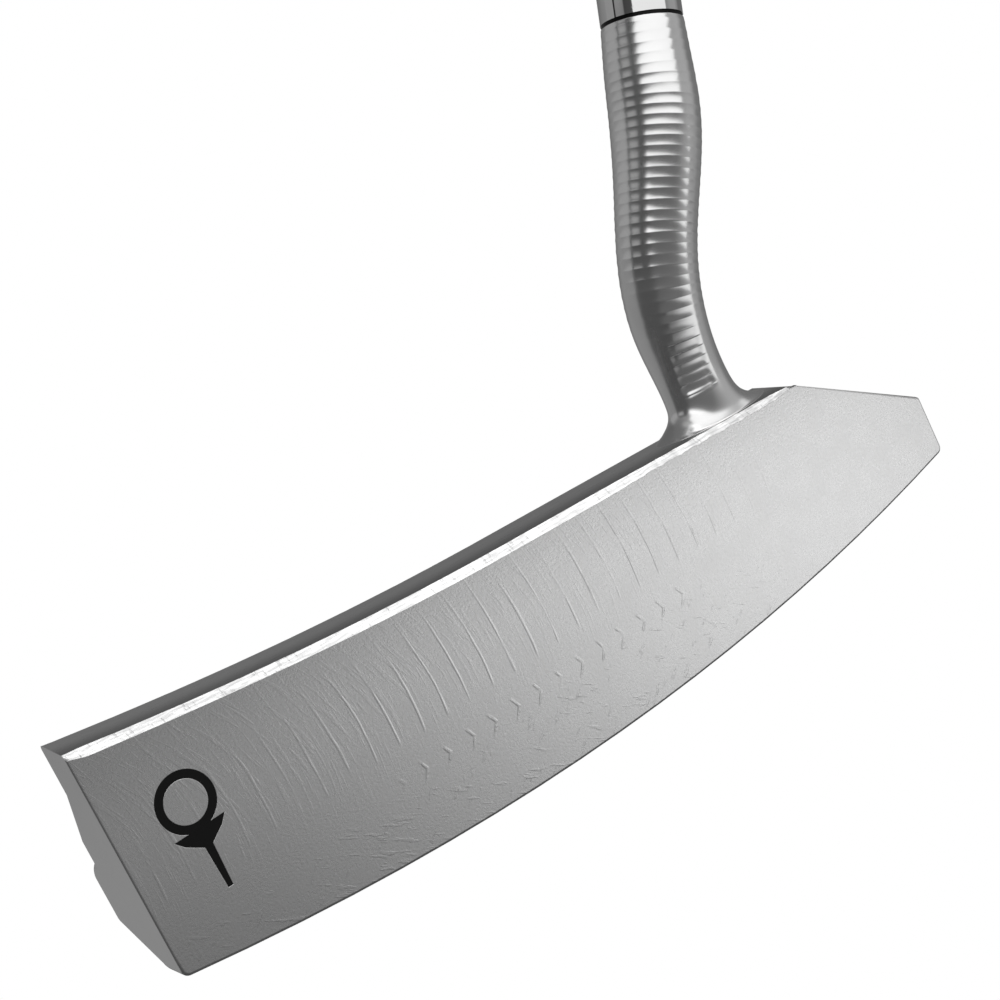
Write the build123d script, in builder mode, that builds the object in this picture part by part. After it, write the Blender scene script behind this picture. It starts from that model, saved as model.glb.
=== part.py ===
# Blade putter: one-piece milled head with a curved neck, over-hosel steel shaft and pistol grip.
# Units are millimetres and degrees. Frame: origin at the centre of the strike face,
# -Y straight out of the face, +X from toe to heel, +Z up. The strike face is the plane Y = 0.

from build123d import *
from math import cos, radians, sin, tan
import os

os.makedirs("parts", exist_ok=True)

# ------------------------------------------------------------------ driving dimensions
BLADE_LENGTH = 117.0          # toe to heel
TOPLINE_WIDTH = 6.95          # thickness of the blade at the topline
CHAMFER = 0.9                 # bright chamfer between face and topline
CROWN_ANGLE = 8.0             # the topline rises towards its back edge
SOLE_Z = -12.1                # lowest point of the sole
SOLE_END_Z = -6.44            # sole at the toe and at the heel
HEAD_DEPTH = 25.5             # face to the back of the flange
END_DEPTH = 14.2              # depth of the flat toe end
CORNER_RUN = 11.3             # flange corners in plan
CORNER_R = 14.0

TOPLINE_START = (39.4, 11.58)     # heel end of the topline
TOPLINE_TANGENT = (-5.5, 13.18)   # straight run ends here, the toe sweep starts
TOPLINE_SWEEP = (-32.0, 14.96)
TOPLINE_TOE = (-58.5, 18.40)
HEEL_FLAT_TOP = 1.2               # top of the short upright heel face

SHOULDER_DROP = 4.1           # topline to the start of the back slope at the toe
SHELF_Z = 6.4                 # top of the toe weight
FLANGE_TOP_Z = -5.0           # floor of the back cavity
CAVITY_TOE_X = -25.0
CAVITY_HEEL_X = 19.0
CAVITY_FLARE = 7.0            # the cavity walls lean out by this much at the top
CAVITY_R = 4.0
FLANGE_EDGE_R = 2.2
CROWN_EDGE_R = 0.5
SOLE_CORNER_R = 0.9           # toe and heel ends of the sole

LOFT_ANGLE = 3.0
LIE_ANGLE = 71.0
RING_X, RING_Y, RING_Z = 44.3, 2.6, 58.7      # centre of the neck's shoulder
NECK_TOP_R = 5.12
POST_R = 4.45
POST_LENGTH = 25.0
RING_R = 4.95
RING_HEIGHT = 0.5

CLUB_LENGTH = 864.0
SOLE_TO_RING = 75.0           # along the shaft axis
TIP_R = 5.08                  # over-hosel tip, 0.400 in
BUTT_R = 7.37                 # butt, 0.580 in
WALL = 0.53
TIP_STRAIGHT = 240.0
STEP_COUNT = 7
STEP_PITCH = 40.0
STEP_TAPER = 1.6

GRIP_LENGTH = 262.0
CAP_THICKNESS = 3.0
CAP_PLUG_R = 6.75
CAP_PLUG_LENGTH = 10.0
VENT_R = 1.5
TAPE_THICKNESS = 0.15

MARK_X, MARK_BALL_Z = -50.3, 8.3
MARK_BALL_R = 3.2
MARK_STROKE = 0.9
MARK_TEE_WIDTH = 5.8
MARK_FOOT_Z = -1.3
MARK_DEPTH = 0.25
PAINT_STEP = 0.05             # the paint lies this far below the metal
SIGHT_WIDTH = 1.1
SIGHT_START, SIGHT_END = 9.5, 22.0
SIGHT_DEPTH = 0.5

# neck centre line (x, y, z) and radius, from the foot up to the ring's seat
NECK_STATIONS = [
    (30.8, 5.5, 17.0, 4.43),
    (30.8, 5.1, 25.0, 4.63),
    (33.1, 4.5, 33.0, 4.96),
    (37.2, 3.8, 41.0, 5.32),
    (41.0, 3.2, 49.0, 5.64),
    (42.5, 2.9, 53.5, 5.47),
    (RING_X, RING_Y, RING_Z, NECK_TOP_R),
]
# flared foot: y, z of the centre, half width along x, half width along y
NECK_FOOT_X = 30.8
NECK_FOOT = [
    (4.0, 11.0, 9.6, 2.7),
    (4.2, 11.9, 7.6, 3.2),
    (4.6, 12.7, 6.1, 3.7),
    (5.1, 14.0, 5.0, 4.15),
]
# grip sections: height above its mouth, width, depth, shift to the thumb side
GRIP_ROUND = 0.44
GRIP_STATIONS = [
    (0.0, 18.6, 18.6, 0.0),
    (70.0, 20.0, 20.4, -0.2),
    (150.0, 22.2, 23.0, -0.5),
    (195.0, 23.2, 25.0, -1.2),
    (225.0, 24.0, 27.8, -2.4),
    (245.0, 24.6, 30.0, -3.3),
    (GRIP_LENGTH, 24.0, 29.0, -3.0),
]

# ------------------------------------------------------------------ derived frames
HALF = BLADE_LENGTH / 2
LEAN = radians(90 - LIE_ANGLE)
TILT = radians(LOFT_ANGLE)
SHAFT_DIR = Vector(sin(LEAN), -cos(LEAN) * sin(TILT), cos(LEAN) * cos(TILT))
UP_SIDE = Vector(0, 1, 0).cross(SHAFT_DIR).normalized() * -1      # thumb side of the grip
RING_C = Vector(RING_X, RING_Y, RING_Z)
SHAFT_AXIS = Axis(RING_C, SHAFT_DIR)
RADIAL = Plane(origin=RING_C, x_dir=UP_SIDE, z_dir=UP_SIDE.cross(SHAFT_DIR))


def across(station):
    """Plane square to the shaft axis, station millimetres above the ring's seat."""
    return Plane(origin=RING_C + SHAFT_DIR * station, x_dir=UP_SIDE, z_dir=SHAFT_DIR)


S_SHAFT = RING_HEIGHT
S_TOP = CLUB_LENGTH - SOLE_TO_RING
S_CAP = S_TOP - CAP_THICKNESS
S_GRIP = S_CAP - GRIP_LENGTH

# heading of the neck at each station: upright at the foot, along the shaft at the top
points = [Vector(x, y, z) for x, y, z, radius in NECK_STATIONS]
NECK_HEADINGS = [Vector(0, -0.03, 1).normalized()]
for below, above in zip(points[:-2], points[2:]):
    NECK_HEADINGS.append((above - below).normalized())
NECK_HEADINGS.append(SHAFT_DIR)

# tee under the ball: cupped bar, tapering stem
TEE_TOP = MARK_BALL_Z - MARK_BALL_R + 0.25
HALF_STROKE = MARK_STROKE / 2
TEE_OUTLINE = [
    (MARK_X - MARK_TEE_WIDTH / 2, TEE_TOP),
    (MARK_X + MARK_TEE_WIDTH / 2, TEE_TOP),
    (MARK_X + MARK_TEE_WIDTH / 2 - 0.8, TEE_TOP - MARK_STROKE),
    (MARK_X + HALF_STROKE, TEE_TOP - 2.2 * MARK_STROKE),
    (MARK_X + HALF_STROKE * 0.6, MARK_FOOT_Z),
    (MARK_X - HALF_STROKE * 0.6, MARK_FOOT_Z),
    (MARK_X - HALF_STROKE, TEE_TOP - 2.2 * MARK_STROKE),
    (MARK_X - MARK_TEE_WIDTH / 2 + 0.8, TEE_TOP - MARK_STROKE),
]

# ------------------------------------------------------------------ putter head
with BuildPart() as putter_head:
    # toe weight: its section follows the topline down towards the middle
    with BuildSketch(Plane.YZ.offset(-HALF)) as toe_section:
        with BuildLine():
            Polyline(
                (0.0, -16.0),
                (0.0, TOPLINE_TOE[1] - SHOULDER_DROP),
                (TOPLINE_WIDTH, TOPLINE_TOE[1] - SHOULDER_DROP),
                (11.3, 8.4),
                (11.3, SHELF_Z),
                (HEAD_DEPTH + 1, 2.2),
                (HEAD_DEPTH + 1, -16.0),
                close=True,
            )
        make_face()
    extrude(amount=37.0, dir=(1, 0, -0.11))

    # heel weight: the same stepped section, lower
    with BuildSketch(Plane.YZ.offset(15.0)) as heel_section:
        with BuildLine():
            Polyline(
                (0.0, -16.0),
                (0.0, 9.3),
                (TOPLINE_WIDTH, 9.3),
                (11.3, 4.0),
                (11.3, 2.4),
                (HEAD_DEPTH + 1, -1.8),
                (HEAD_DEPTH + 1, -16.0),
                close=True,
            )
        make_face()
    extrude(amount=46.0, dir=(1, 0, -0.036))

    # flange and the lower half of the blade
    with BuildSketch(Plane.YZ.offset(-HALF)):
        with Locations((0, -16.0)):
            Rectangle(HEAD_DEPTH + 1, FLANGE_TOP_Z + 16.0, align=(Align.MIN, Align.MIN))
    extrude(amount=BLADE_LENGTH)

    # outline seen from the front trims toe, heel slope and cambered sole
    with BuildSketch(Plane.XZ.offset(1.0)) as outline_deep:
        with BuildLine():
            ThreePointArc((HALF, SOLE_END_Z), (0, SOLE_Z), (-HALF, SOLE_END_Z))
            Line((-HALF, SOLE_END_Z), TOPLINE_TOE)
            ThreePointArc(TOPLINE_TOE, TOPLINE_SWEEP, TOPLINE_TANGENT)
            Line(TOPLINE_TANGENT, TOPLINE_START)
            Line(TOPLINE_START, (HALF, HEEL_FLAT_TOP))
            Line((HALF, HEEL_FLAT_TOP), (HALF, SOLE_END_Z))
        make_face()
        fillet(outline_deep.vertices().group_by(Axis.Y)[0], SOLE_CORNER_R)
    extrude(amount=-40.0, mode=Mode.INTERSECT)

    # outline seen from above rounds the two back corners
    with BuildSketch(Plane.XY.offset(-20.0)) as plan:
        with BuildLine():
            Polyline((-HALF, END_DEPTH), (-HALF, -1.0), (HALF, -1.0), (HALF, END_DEPTH))
            RadiusArc((-HALF, END_DEPTH), (-HALF + CORNER_RUN, HEAD_DEPTH), CORNER_R)
            Line((-HALF + CORNER_RUN, HEAD_DEPTH), (HALF - CORNER_RUN, HEAD_DEPTH))
            RadiusArc((HALF - CORNER_RUN, HEAD_DEPTH), (HALF, END_DEPTH), CORNER_R)
        make_face()
    extrude(amount=50.0, mode=Mode.INTERSECT)

    # rounded back edge of both weights
    weight_edges = putter_head.edges().filter_by(
        lambda e: e.center().Y > 18 and e.center().Z > -2.5 and e.length > 15
    )
    fillet(weight_edges, FLANGE_EDGE_R)

    # cavity between the weights, open at the back
    with BuildSketch(Plane.XZ.offset(-TOPLINE_WIDTH)) as cavity:
        with BuildLine():
            Polyline(
                (CAVITY_TOE_X, FLANGE_TOP_Z),
                (CAVITY_HEEL_X, FLANGE_TOP_Z),
                (CAVITY_HEEL_X + CAVITY_FLARE, 20.0),
                (CAVITY_TOE_X - CAVITY_FLARE, 20.0),
                close=True,
            )
        make_face()
        fillet(cavity.vertices().group_by(Axis.Z)[0], CAVITY_R)
    extrude(amount=-40.0, mode=Mode.SUBTRACT)

    # blade plate with its crowned topline
    with BuildSketch(Plane.XZ) as outline_front:
        with BuildLine():
            ThreePointArc((HALF, SOLE_END_Z), (0, SOLE_Z), (-HALF, SOLE_END_Z))
            Line((-HALF, SOLE_END_Z), TOPLINE_TOE)
            ThreePointArc(TOPLINE_TOE, TOPLINE_SWEEP, TOPLINE_TANGENT)
            Line(TOPLINE_TANGENT, TOPLINE_START)
            Line(TOPLINE_START, (HALF, HEEL_FLAT_TOP))
            Line((HALF, HEEL_FLAT_TOP), (HALF, SOLE_END_Z))
        make_face()
        fillet(outline_front.vertices().group_by(Axis.Y)[0], SOLE_CORNER_R)
    extrude(amount=TOPLINE_WIDTH / cos(radians(CROWN_ANGLE)), dir=(0, 1, tan(radians(CROWN_ANGLE))))

    # sole relief under the toe and heel corners of the flange
    toe_relief = Plane(origin=(-HALF, 3.3, SOLE_END_Z - 0.1), z_dir=(-161, 155, -375))
    heel_relief = Plane(origin=(HALF, 3.3, SOLE_END_Z - 0.1), z_dir=(114, 85, -375))
    split(bisect_by=toe_relief, keep=Keep.BOTTOM)
    split(bisect_by=heel_relief, keep=Keep.BOTTOM)
    # chamfer between the face and the topline
    front_edges = putter_head.edges().filter_by(
        lambda e: e.center().Z > 11.0 and abs(e.center().Y) < 0.01 and e.length > 25
    )
    chamfer(front_edges, CHAMFER)

    # fine break on the back edge of the topline
    crown_edges = putter_head.edges().filter_by(
        lambda e: e.center().Z > 13.0 and abs(e.center().Y - TOPLINE_WIDTH) < 0.1 and e.length > 40
    )
    fillet(crown_edges, CROWN_EDGE_R)

    # curved neck: a flared foot on the topline, then round sections along the centre line
    for y, z, half_x, half_y in NECK_FOOT:
        with BuildSketch(Plane(origin=(NECK_FOOT_X, y, z), x_dir=(1, 0, 0), z_dir=(0, 0, 1))):
            Ellipse(half_x, half_y)
    for (x, y, z, radius), heading in zip(NECK_STATIONS, NECK_HEADINGS):
        with BuildSketch(Plane(origin=(x, y, z), x_dir=Vector(0, 1, 0).cross(heading), z_dir=heading)):
            Circle(radius)
    loft()

    # post that the shaft slips over
    with BuildSketch(across(-1.0)):
        Circle(POST_R)
    extrude(amount=POST_LENGTH + 1.0)
    chamfer(putter_head.edges().sort_by(Axis.Z)[-1], 0.6)

    # engraved mark near the toe: a ball resting on a tee
    with BuildSketch(Plane.XZ) as mark_outline:
        with Locations((MARK_X, MARK_BALL_Z)):
            Circle(MARK_BALL_R)
            Circle(MARK_BALL_R - MARK_STROKE, mode=Mode.SUBTRACT)
        with BuildLine():
            Polyline(*TEE_OUTLINE, close=True)
        make_face()
    extrude(amount=-MARK_DEPTH, mode=Mode.SUBTRACT)

    # sight line milled into the floor of the cavity
    with BuildSketch(Plane.XY.offset(FLANGE_TOP_Z - SIGHT_DEPTH)):
        with Locations((0, (SIGHT_START + SIGHT_END) / 2)):
            SlotOverall(SIGHT_END - SIGHT_START, SIGHT_WIDTH, rotation=90)
    extrude(amount=5.0, mode=Mode.SUBTRACT)

putter_head.part.label = "putter_head"
export_step(putter_head.part, "parts/putter_head.step")

# ------------------------------------------------------------------ paint in the face mark
with BuildPart() as face_mark_paint:
    with BuildSketch(Plane.XZ.offset(-MARK_DEPTH)):
        with Locations((MARK_X, MARK_BALL_Z)):
            Circle(MARK_BALL_R)
            Circle(MARK_BALL_R - MARK_STROKE, mode=Mode.SUBTRACT)
        with BuildLine():
            Polyline(*TEE_OUTLINE, close=True)
        make_face()
    extrude(amount=MARK_DEPTH - PAINT_STEP)

face_mark_paint.part.label = "face_mark_paint"
export_step(face_mark_paint.part, "parts/face_mark_paint.step")

# ------------------------------------------------------------------ paint in the sight line
with BuildPart() as sight_line_paint:
    with BuildSketch(Plane.XY.offset(FLANGE_TOP_Z - SIGHT_DEPTH)):
        with Locations((0, (SIGHT_START + SIGHT_END) / 2)):
            SlotOverall(SIGHT_END - SIGHT_START, SIGHT_WIDTH, rotation=90)
    extrude(amount=SIGHT_DEPTH - PAINT_STEP)

sight_line_paint.part.label = "sight_line_paint"
export_step(sight_line_paint.part, "parts/sight_line_paint.step")

# ------------------------------------------------------------------ black ring under the shaft
with BuildPart() as shaft_ring:
    with BuildSketch(across(0)):
        Circle(RING_R)
        Circle(POST_R, mode=Mode.SUBTRACT)
    extrude(amount=RING_HEIGHT)

shaft_ring.part.label = "shaft_ring"
export_step(shaft_ring.part, "parts/shaft_ring.step")

# ------------------------------------------------------------------ bond between post and shaft
with BuildPart() as shaft_epoxy:
    with BuildSketch(across(S_SHAFT)):
        Circle(TIP_R - WALL)
        Circle(POST_R, mode=Mode.SUBTRACT)
    extrude(amount=POST_LENGTH - 1.5)

shaft_epoxy.part.label = "shaft_epoxy"
export_step(shaft_epoxy.part, "parts/shaft_epoxy.step")

# ------------------------------------------------------------------ stepped steel shaft
STEP_RISE = (BUTT_R - TIP_R) / STEP_COUNT
outer = [(TIP_R, S_SHAFT), (TIP_R, S_SHAFT + TIP_STRAIGHT)]
for step in range(STEP_COUNT):
    base = S_SHAFT + TIP_STRAIGHT + step * STEP_PITCH
    radius = TIP_R + (step + 1) * STEP_RISE
    outer.append((radius, base + STEP_TAPER))
    outer.append((radius, base + STEP_PITCH))
outer[-1] = (BUTT_R, S_CAP)
inner = [(radius - WALL, height) for radius, height in reversed(outer)]

with BuildPart() as shaft:
    with BuildSketch(RADIAL) as shaft_wall:
        with BuildLine():
            Polyline(*outer, *inner, close=True)
        make_face()
    revolve(axis=SHAFT_AXIS)

shaft.part.label = "shaft"
export_step(shaft.part, "parts/shaft.step")

# ------------------------------------------------------------------ tape under the grip
with BuildPart() as grip_tape:
    with BuildSketch(across(S_GRIP + 3.0)):
        Circle(BUTT_R + TAPE_THICKNESS)
        Circle(BUTT_R, mode=Mode.SUBTRACT)
    extrude(amount=GRIP_LENGTH - 3.0)

grip_tape.part.label = "grip_tape"
export_step(grip_tape.part, "parts/grip_tape.step")

# ------------------------------------------------------------------ pistol grip
with BuildPart() as grip:
    for above, width, depth, shift in GRIP_STATIONS:
        with BuildSketch(across(S_GRIP + above)):
            with Locations((shift, 0)):
                RectangleRounded(depth, width, width * GRIP_ROUND)
    loft(ruled=True)
    with BuildSketch(across(S_GRIP - 1.0)):
        Circle(BUTT_R + TAPE_THICKNESS)
    extrude(amount=GRIP_LENGTH + 2.0, mode=Mode.SUBTRACT)

grip.part.label = "grip"
export_step(grip.part, "parts/grip.step")

# ------------------------------------------------------------------ cap with its vent hole
with BuildPart() as grip_cap:
    end_width, end_depth, end_shift = GRIP_STATIONS[-1][1:]
    with BuildSketch(across(S_CAP)):
        with Locations((end_shift, 0)):
            RectangleRounded(end_depth, end_width, end_width * GRIP_ROUND)
    extrude(amount=CAP_THICKNESS)
    fillet(grip_cap.edges().group_by(SHAFT_AXIS)[-1], 1.6)
    with BuildSketch(across(S_CAP - CAP_PLUG_LENGTH)):
        Circle(CAP_PLUG_R)
    extrude(amount=CAP_PLUG_LENGTH)
    with BuildSketch(across(S_CAP - CAP_PLUG_LENGTH - 1.0)):
        Circle(VENT_R)
    extrude(amount=CAP_PLUG_LENGTH + CAP_THICKNESS + 2.0, mode=Mode.SUBTRACT)

grip_cap.part.label = "grip_cap"
export_step(grip_cap.part, "parts/grip_cap.step")

vent_mouth = RING_C + SHAFT_DIR * S_TOP
grip_middle = RING_C + SHAFT_DIR * (S_GRIP + 150.0)
print("shaft direction", SHAFT_DIR)
print("vent mouth", vent_mouth)
print("grip middle", grip_middle)
print("head grams", putter_head.part.volume * 0.00785)
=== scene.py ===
"""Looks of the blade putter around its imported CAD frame: metres, face on Y = 0, +Z up."""
import math

import bmesh
import bpy
import numpy as np
from mathutils import Matrix, Vector, noise


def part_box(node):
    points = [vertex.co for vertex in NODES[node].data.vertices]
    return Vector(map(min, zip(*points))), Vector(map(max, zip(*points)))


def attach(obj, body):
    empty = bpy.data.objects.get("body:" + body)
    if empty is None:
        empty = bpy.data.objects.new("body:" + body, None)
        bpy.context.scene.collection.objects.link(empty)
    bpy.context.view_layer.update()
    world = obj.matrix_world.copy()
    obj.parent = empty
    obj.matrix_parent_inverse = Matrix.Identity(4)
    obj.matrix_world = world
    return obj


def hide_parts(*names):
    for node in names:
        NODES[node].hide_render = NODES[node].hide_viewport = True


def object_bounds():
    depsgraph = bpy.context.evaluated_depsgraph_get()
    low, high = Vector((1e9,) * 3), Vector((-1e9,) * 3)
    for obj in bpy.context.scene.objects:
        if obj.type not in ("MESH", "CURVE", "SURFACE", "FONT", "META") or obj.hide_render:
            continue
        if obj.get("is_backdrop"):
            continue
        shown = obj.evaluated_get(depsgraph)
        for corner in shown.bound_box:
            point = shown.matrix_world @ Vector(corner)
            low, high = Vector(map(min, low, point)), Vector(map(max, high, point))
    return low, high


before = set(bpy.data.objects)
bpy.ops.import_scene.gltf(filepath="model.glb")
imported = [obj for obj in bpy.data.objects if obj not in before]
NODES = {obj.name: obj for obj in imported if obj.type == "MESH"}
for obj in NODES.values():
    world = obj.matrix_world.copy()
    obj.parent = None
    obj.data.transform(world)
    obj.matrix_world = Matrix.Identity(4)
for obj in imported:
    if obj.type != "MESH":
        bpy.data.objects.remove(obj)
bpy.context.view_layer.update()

MM = 0.001
SCENE = bpy.context.scene


def middle(node):
    low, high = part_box(node)
    return (low + high) / 2


# shaft line of the club: lie 71 degrees, loft 3 degrees
LEAN, TILT = math.radians(19), math.radians(3)
SHAFT_DIR = Vector((math.sin(LEAN), -math.cos(LEAN) * math.sin(TILT),
                    math.cos(LEAN) * math.cos(TILT)))
THUMB_SIDE = -Vector((0, 1, 0)).cross(SHAFT_DIR).normalized()
GRIP_SIDE = SHAFT_DIR.cross(THUMB_SIDE)
SEAT_BELOW_RING = 0.25 * MM       # from the middle of the ring down to its seat
RING_SEAT = middle("shaft_ring") - SHAFT_DIR * SEAT_BELOW_RING
HEAD_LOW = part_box("putter_head")[0]


# ------------------------------------------------------------------ node helpers
def put(tree, kind, inputs=None, out=0, **settings):
    """Adds a shader node; inputs may be values or sockets. Returns its output socket."""
    node = tree.nodes.new("ShaderNode" + kind)
    for key, value in settings.items():
        setattr(node, key, value)
    for key, value in (inputs or {}).items():
        if isinstance(value, bpy.types.NodeSocket):
            tree.links.new(value, node.inputs[key])
        else:
            node.inputs[key].default_value = value
    return node.outputs[out]


def calc(tree, operation, *values):
    return put(tree, "Math", dict(enumerate(values)), operation=operation)


def remap(tree, value, low, high, to_low=0.0, to_high=1.0, smooth=True):
    kind = "SMOOTHSTEP" if smooth else "LINEAR"
    return put(tree, "MapRange", {"Value": value, "From Min": low, "From Max": high,
               "To Min": to_low, "To Max": to_high}, interpolation_type=kind)


def blend(tree, factor, a, b):
    return put(tree, "MapRange", {"Value": factor, "From Min": 0.0, "From Max": 1.0,
               "To Min": a, "To Max": b})


def vector(tree, x, y, z):
    return put(tree, "CombineXYZ", {"X": x, "Y": y, "Z": z})


def grain(tree, where, scale, detail=2.0, rough=0.5):
    return put(tree, "TexNoise", {"Vector": where, "Scale": scale, "Detail": detail,
               "Roughness": rough})


def grey(tree, value):
    return put(tree, "CombineColor", {"Red": value, "Green": value, "Blue": value})


def stretched(tree, place, factors):
    return put(tree, "VectorMath", {0: place, 1: factors}, operation="MULTIPLY")


def split(tree, place, axes):
    """One socket for each axis named, such as "XZ"."""
    return [put(tree, "SeparateXYZ", {0: place}, out=axis) for axis in axes]


def millimetres(tree):
    """The place on the object in millimetres."""
    place = put(tree, "TexCoord", out="Object")
    return put(tree, "VectorMath", {0: place, "Scale": 1000.0}, operation="SCALE")


def start_material(name):
    """New node material: its tree, its Principled node and the place in millimetres."""
    material = bpy.data.materials.new(name)
    material.use_nodes = True
    tree = material.node_tree
    return material, tree, tree.nodes["Principled BSDF"], millimetres(tree)


def set_look(tree, shader, colour, rough, height):
    """Links colour, roughness and a bump whose height is in millimetres."""
    tree.links.new(grey(tree, colour), shader.inputs["Base Color"])
    tree.links.new(rough, shader.inputs["Roughness"])
    bump = put(tree, "Bump", {"Height": height, "Distance": MM, "Strength": 1.0})
    tree.links.new(bump, shader.inputs["Normal"])


# ------------------------------------------------------------------ materials
FLYCUT_R = 37.0           # radius of the cutter's arcs on the face
FLYCUT_CENTRE_Z = 4.0     # the arcs stand upright at this height
FLYCUT_STEP = 3.2         # feed from one pass to the next
STEEP_R, STEEP_CENTRE_Z = 30.0, -2.0      # finer arcs under the chamfer
KNEE_Z = -2.7             # the flecks bend at this height
TOE_SLANT, HEEL_SLANT = 0.55, -0.8        # slopes of the crossing marks


def arc_place(tree, x, z, radius, centre_z):
    """Distance along X from a cutter arc that bulges towards the heel."""
    rise = calc(tree, "SUBTRACT", z, centre_z)
    square = calc(tree, "SUBTRACT", radius ** 2, calc(tree, "MULTIPLY", rise, rise))
    return calc(tree, "SUBTRACT", x, calc(tree, "SQRT", square))


def streaks(tree, across, z, length, density, low, high, seed):
    """Thin broken lines: 1 on a line, 0 between lines."""
    where = vector(tree, across, calc(tree, "DIVIDE", z, length), seed)
    return remap(tree, grain(tree, where, density, 3.0, 0.6), low, high)


def milled_face():
    """Strike face: arcs of a fly cutter, flecks, crossing marks and a fine speckle."""
    material, tree, shader, place = start_material("milled_face")
    shader.inputs["Metallic"].default_value = 1.0
    x, z = split(tree, place, "XZ")
    sweep = arc_place(tree, x, z, FLYCUT_R, FLYCUT_CENTRE_Z)
    wobble = grain(tree, vector(tree, calc(tree, "MULTIPLY", sweep, 0.25),
                                calc(tree, "MULTIPLY", z, 0.08), 8.0), 1.0)
    wobble = calc(tree, "MULTIPLY_ADD", wobble, 0.9, sweep)
    # one ridge for each pass of the cutter, from under the chamfer to the middle
    phase = calc(tree, "PINGPONG", wobble, FLYCUT_STEP / 2)
    ridge = calc(tree, "MULTIPLY", remap(tree, phase, 0.20, 0.02), remap(tree, z, 0.4, 1.6))
    ridge = calc(tree, "MULTIPLY", ridge, remap(tree, z, 14.0, 6.0, 0.15, 1.0))
    broken = grain(tree, vector(tree, sweep, calc(tree, "MULTIPLY", z, 0.3), 1.0), 0.6)
    ridge = calc(tree, "MULTIPLY", ridge, remap(tree, broken, 0.36, 0.52, 0.25, 1.0))
    # short hooked flecks where each pass ends
    above_knee = calc(tree, "ADD", z, -KNEE_Z)
    hook = calc(tree, "MULTIPLY_ADD", calc(tree, "ABSOLUTE", above_knee), 0.60, wobble)
    hook = calc(tree, "MULTIPLY_ADD", above_knee, 0.10, hook)
    hook = calc(tree, "PINGPONG", calc(tree, "ADD", hook, 1.1), FLYCUT_STEP / 2)
    fleck = remap(tree, hook, 0.28, 0.06)
    for axis, none, full in ((z, -4.3, -3.5), (z, -1.3, -1.9), (x, -32.0, -25.0), (x, 18.0, 12.0)):
        fleck = calc(tree, "MULTIPLY", fleck, remap(tree, axis, none, full))
    uneven = remap(tree, grain(tree, place, 0.9), 0.38, 0.55, 0.3, 1.0)
    fleck = calc(tree, "MULTIPLY", fleck, uneven)
    # finer lines between the passes, steeper under the chamfer
    steep = arc_place(tree, x, z, STEEP_R, STEEP_CENTRE_Z)
    fine = streaks(tree, steep, z, 9.0, 1.6, 0.54, 0.64, 3.0)
    fine = calc(tree, "MULTIPLY", fine, remap(tree, z, 1.0, 7.0))
    hair = streaks(tree, sweep, z, 14.0, 2.6, 0.55, 0.68, 6.0)
    hair = calc(tree, "MULTIPLY", hair, remap(tree, z, -4.0, 2.0))
    # crossing marks of the returning cutter, low on the face
    flat_way = calc(tree, "MULTIPLY_ADD", x, TOE_SLANT, z)
    cross = streaks(tree, flat_way, x, 4.0, 1.3, 0.60, 0.68, 5.0)
    rise_way = calc(tree, "MULTIPLY_ADD", x, HEEL_SLANT, z)
    cross = calc(tree, "ADD", cross, streaks(tree, rise_way, x, 3.0, 1.3, 0.62, 0.70, 9.0))
    cross = calc(tree, "MULTIPLY", cross, remap(tree, z, -2.0, -5.0))
    # the marks sum to one relief, weaker at the toe and fading out at the heel
    ridge = calc(tree, "MULTIPLY", ridge, remap(tree, x, -42.0, -18.0, 0.45, 1.0))
    relief = calc(tree, "ADD", ridge, fleck)
    relief = calc(tree, "MULTIPLY_ADD", fine, 0.30, relief)
    relief = calc(tree, "MULTIPLY_ADD", hair, 0.22, relief)
    relief = calc(tree, "MULTIPLY_ADD", cross, 0.35, relief)
    relief = calc(tree, "MULTIPLY", relief, remap(tree, x, 36.0, 12.0, 0.14, 1.0))
    speck = grain(tree, place, 3.4, 3.0, 0.75)
    height = calc(tree, "MULTIPLY_ADD", relief, 0.028, calc(tree, "MULTIPLY", speck, 0.022))
    tint = grain(tree, place, 2.6, 3.0, 0.7)
    colour = calc(tree, "MULTIPLY_ADD", tint, 0.16, 0.70)
    # painted light: the face's colour grows up to 9% lighter towards its top
    colour = calc(tree, "MULTIPLY", colour, remap(tree, z, -2.0, 12.0, 1.0, 1.09))
    rough = calc(tree, "MULTIPLY_ADD", grain(tree, place, 0.3), 0.06, 0.20)
    rough = calc(tree, "MULTIPLY_ADD", speck, 0.10, rough)
    set_look(tree, shader, colour, rough, height)
    return material


def satin_steel(name, tone, rough_level, brushed=0.004, stretch=(0.05, 1.0, 1.0)):
    """Milled steel with fine feed lines; stretch sets the direction they run in."""
    material, tree, shader, place = start_material(name)
    shader.inputs["Metallic"].default_value = 1.0
    lines = grain(tree, stretched(tree, place, stretch), 9.0, 3.0, 0.6)
    cloud = grain(tree, place, 0.25, 2.0)
    colour = calc(tree, "MULTIPLY_ADD", cloud, 0.10, tone - 0.05)
    rough = calc(tree, "MULTIPLY_ADD", lines, 0.10, rough_level - 0.05)
    rough = calc(tree, "MULTIPLY_ADD", cloud, 0.08, rough)
    height = calc(tree, "MULTIPLY", lines, brushed)
    set_look(tree, shader, colour, rough, height)
    return material


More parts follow.
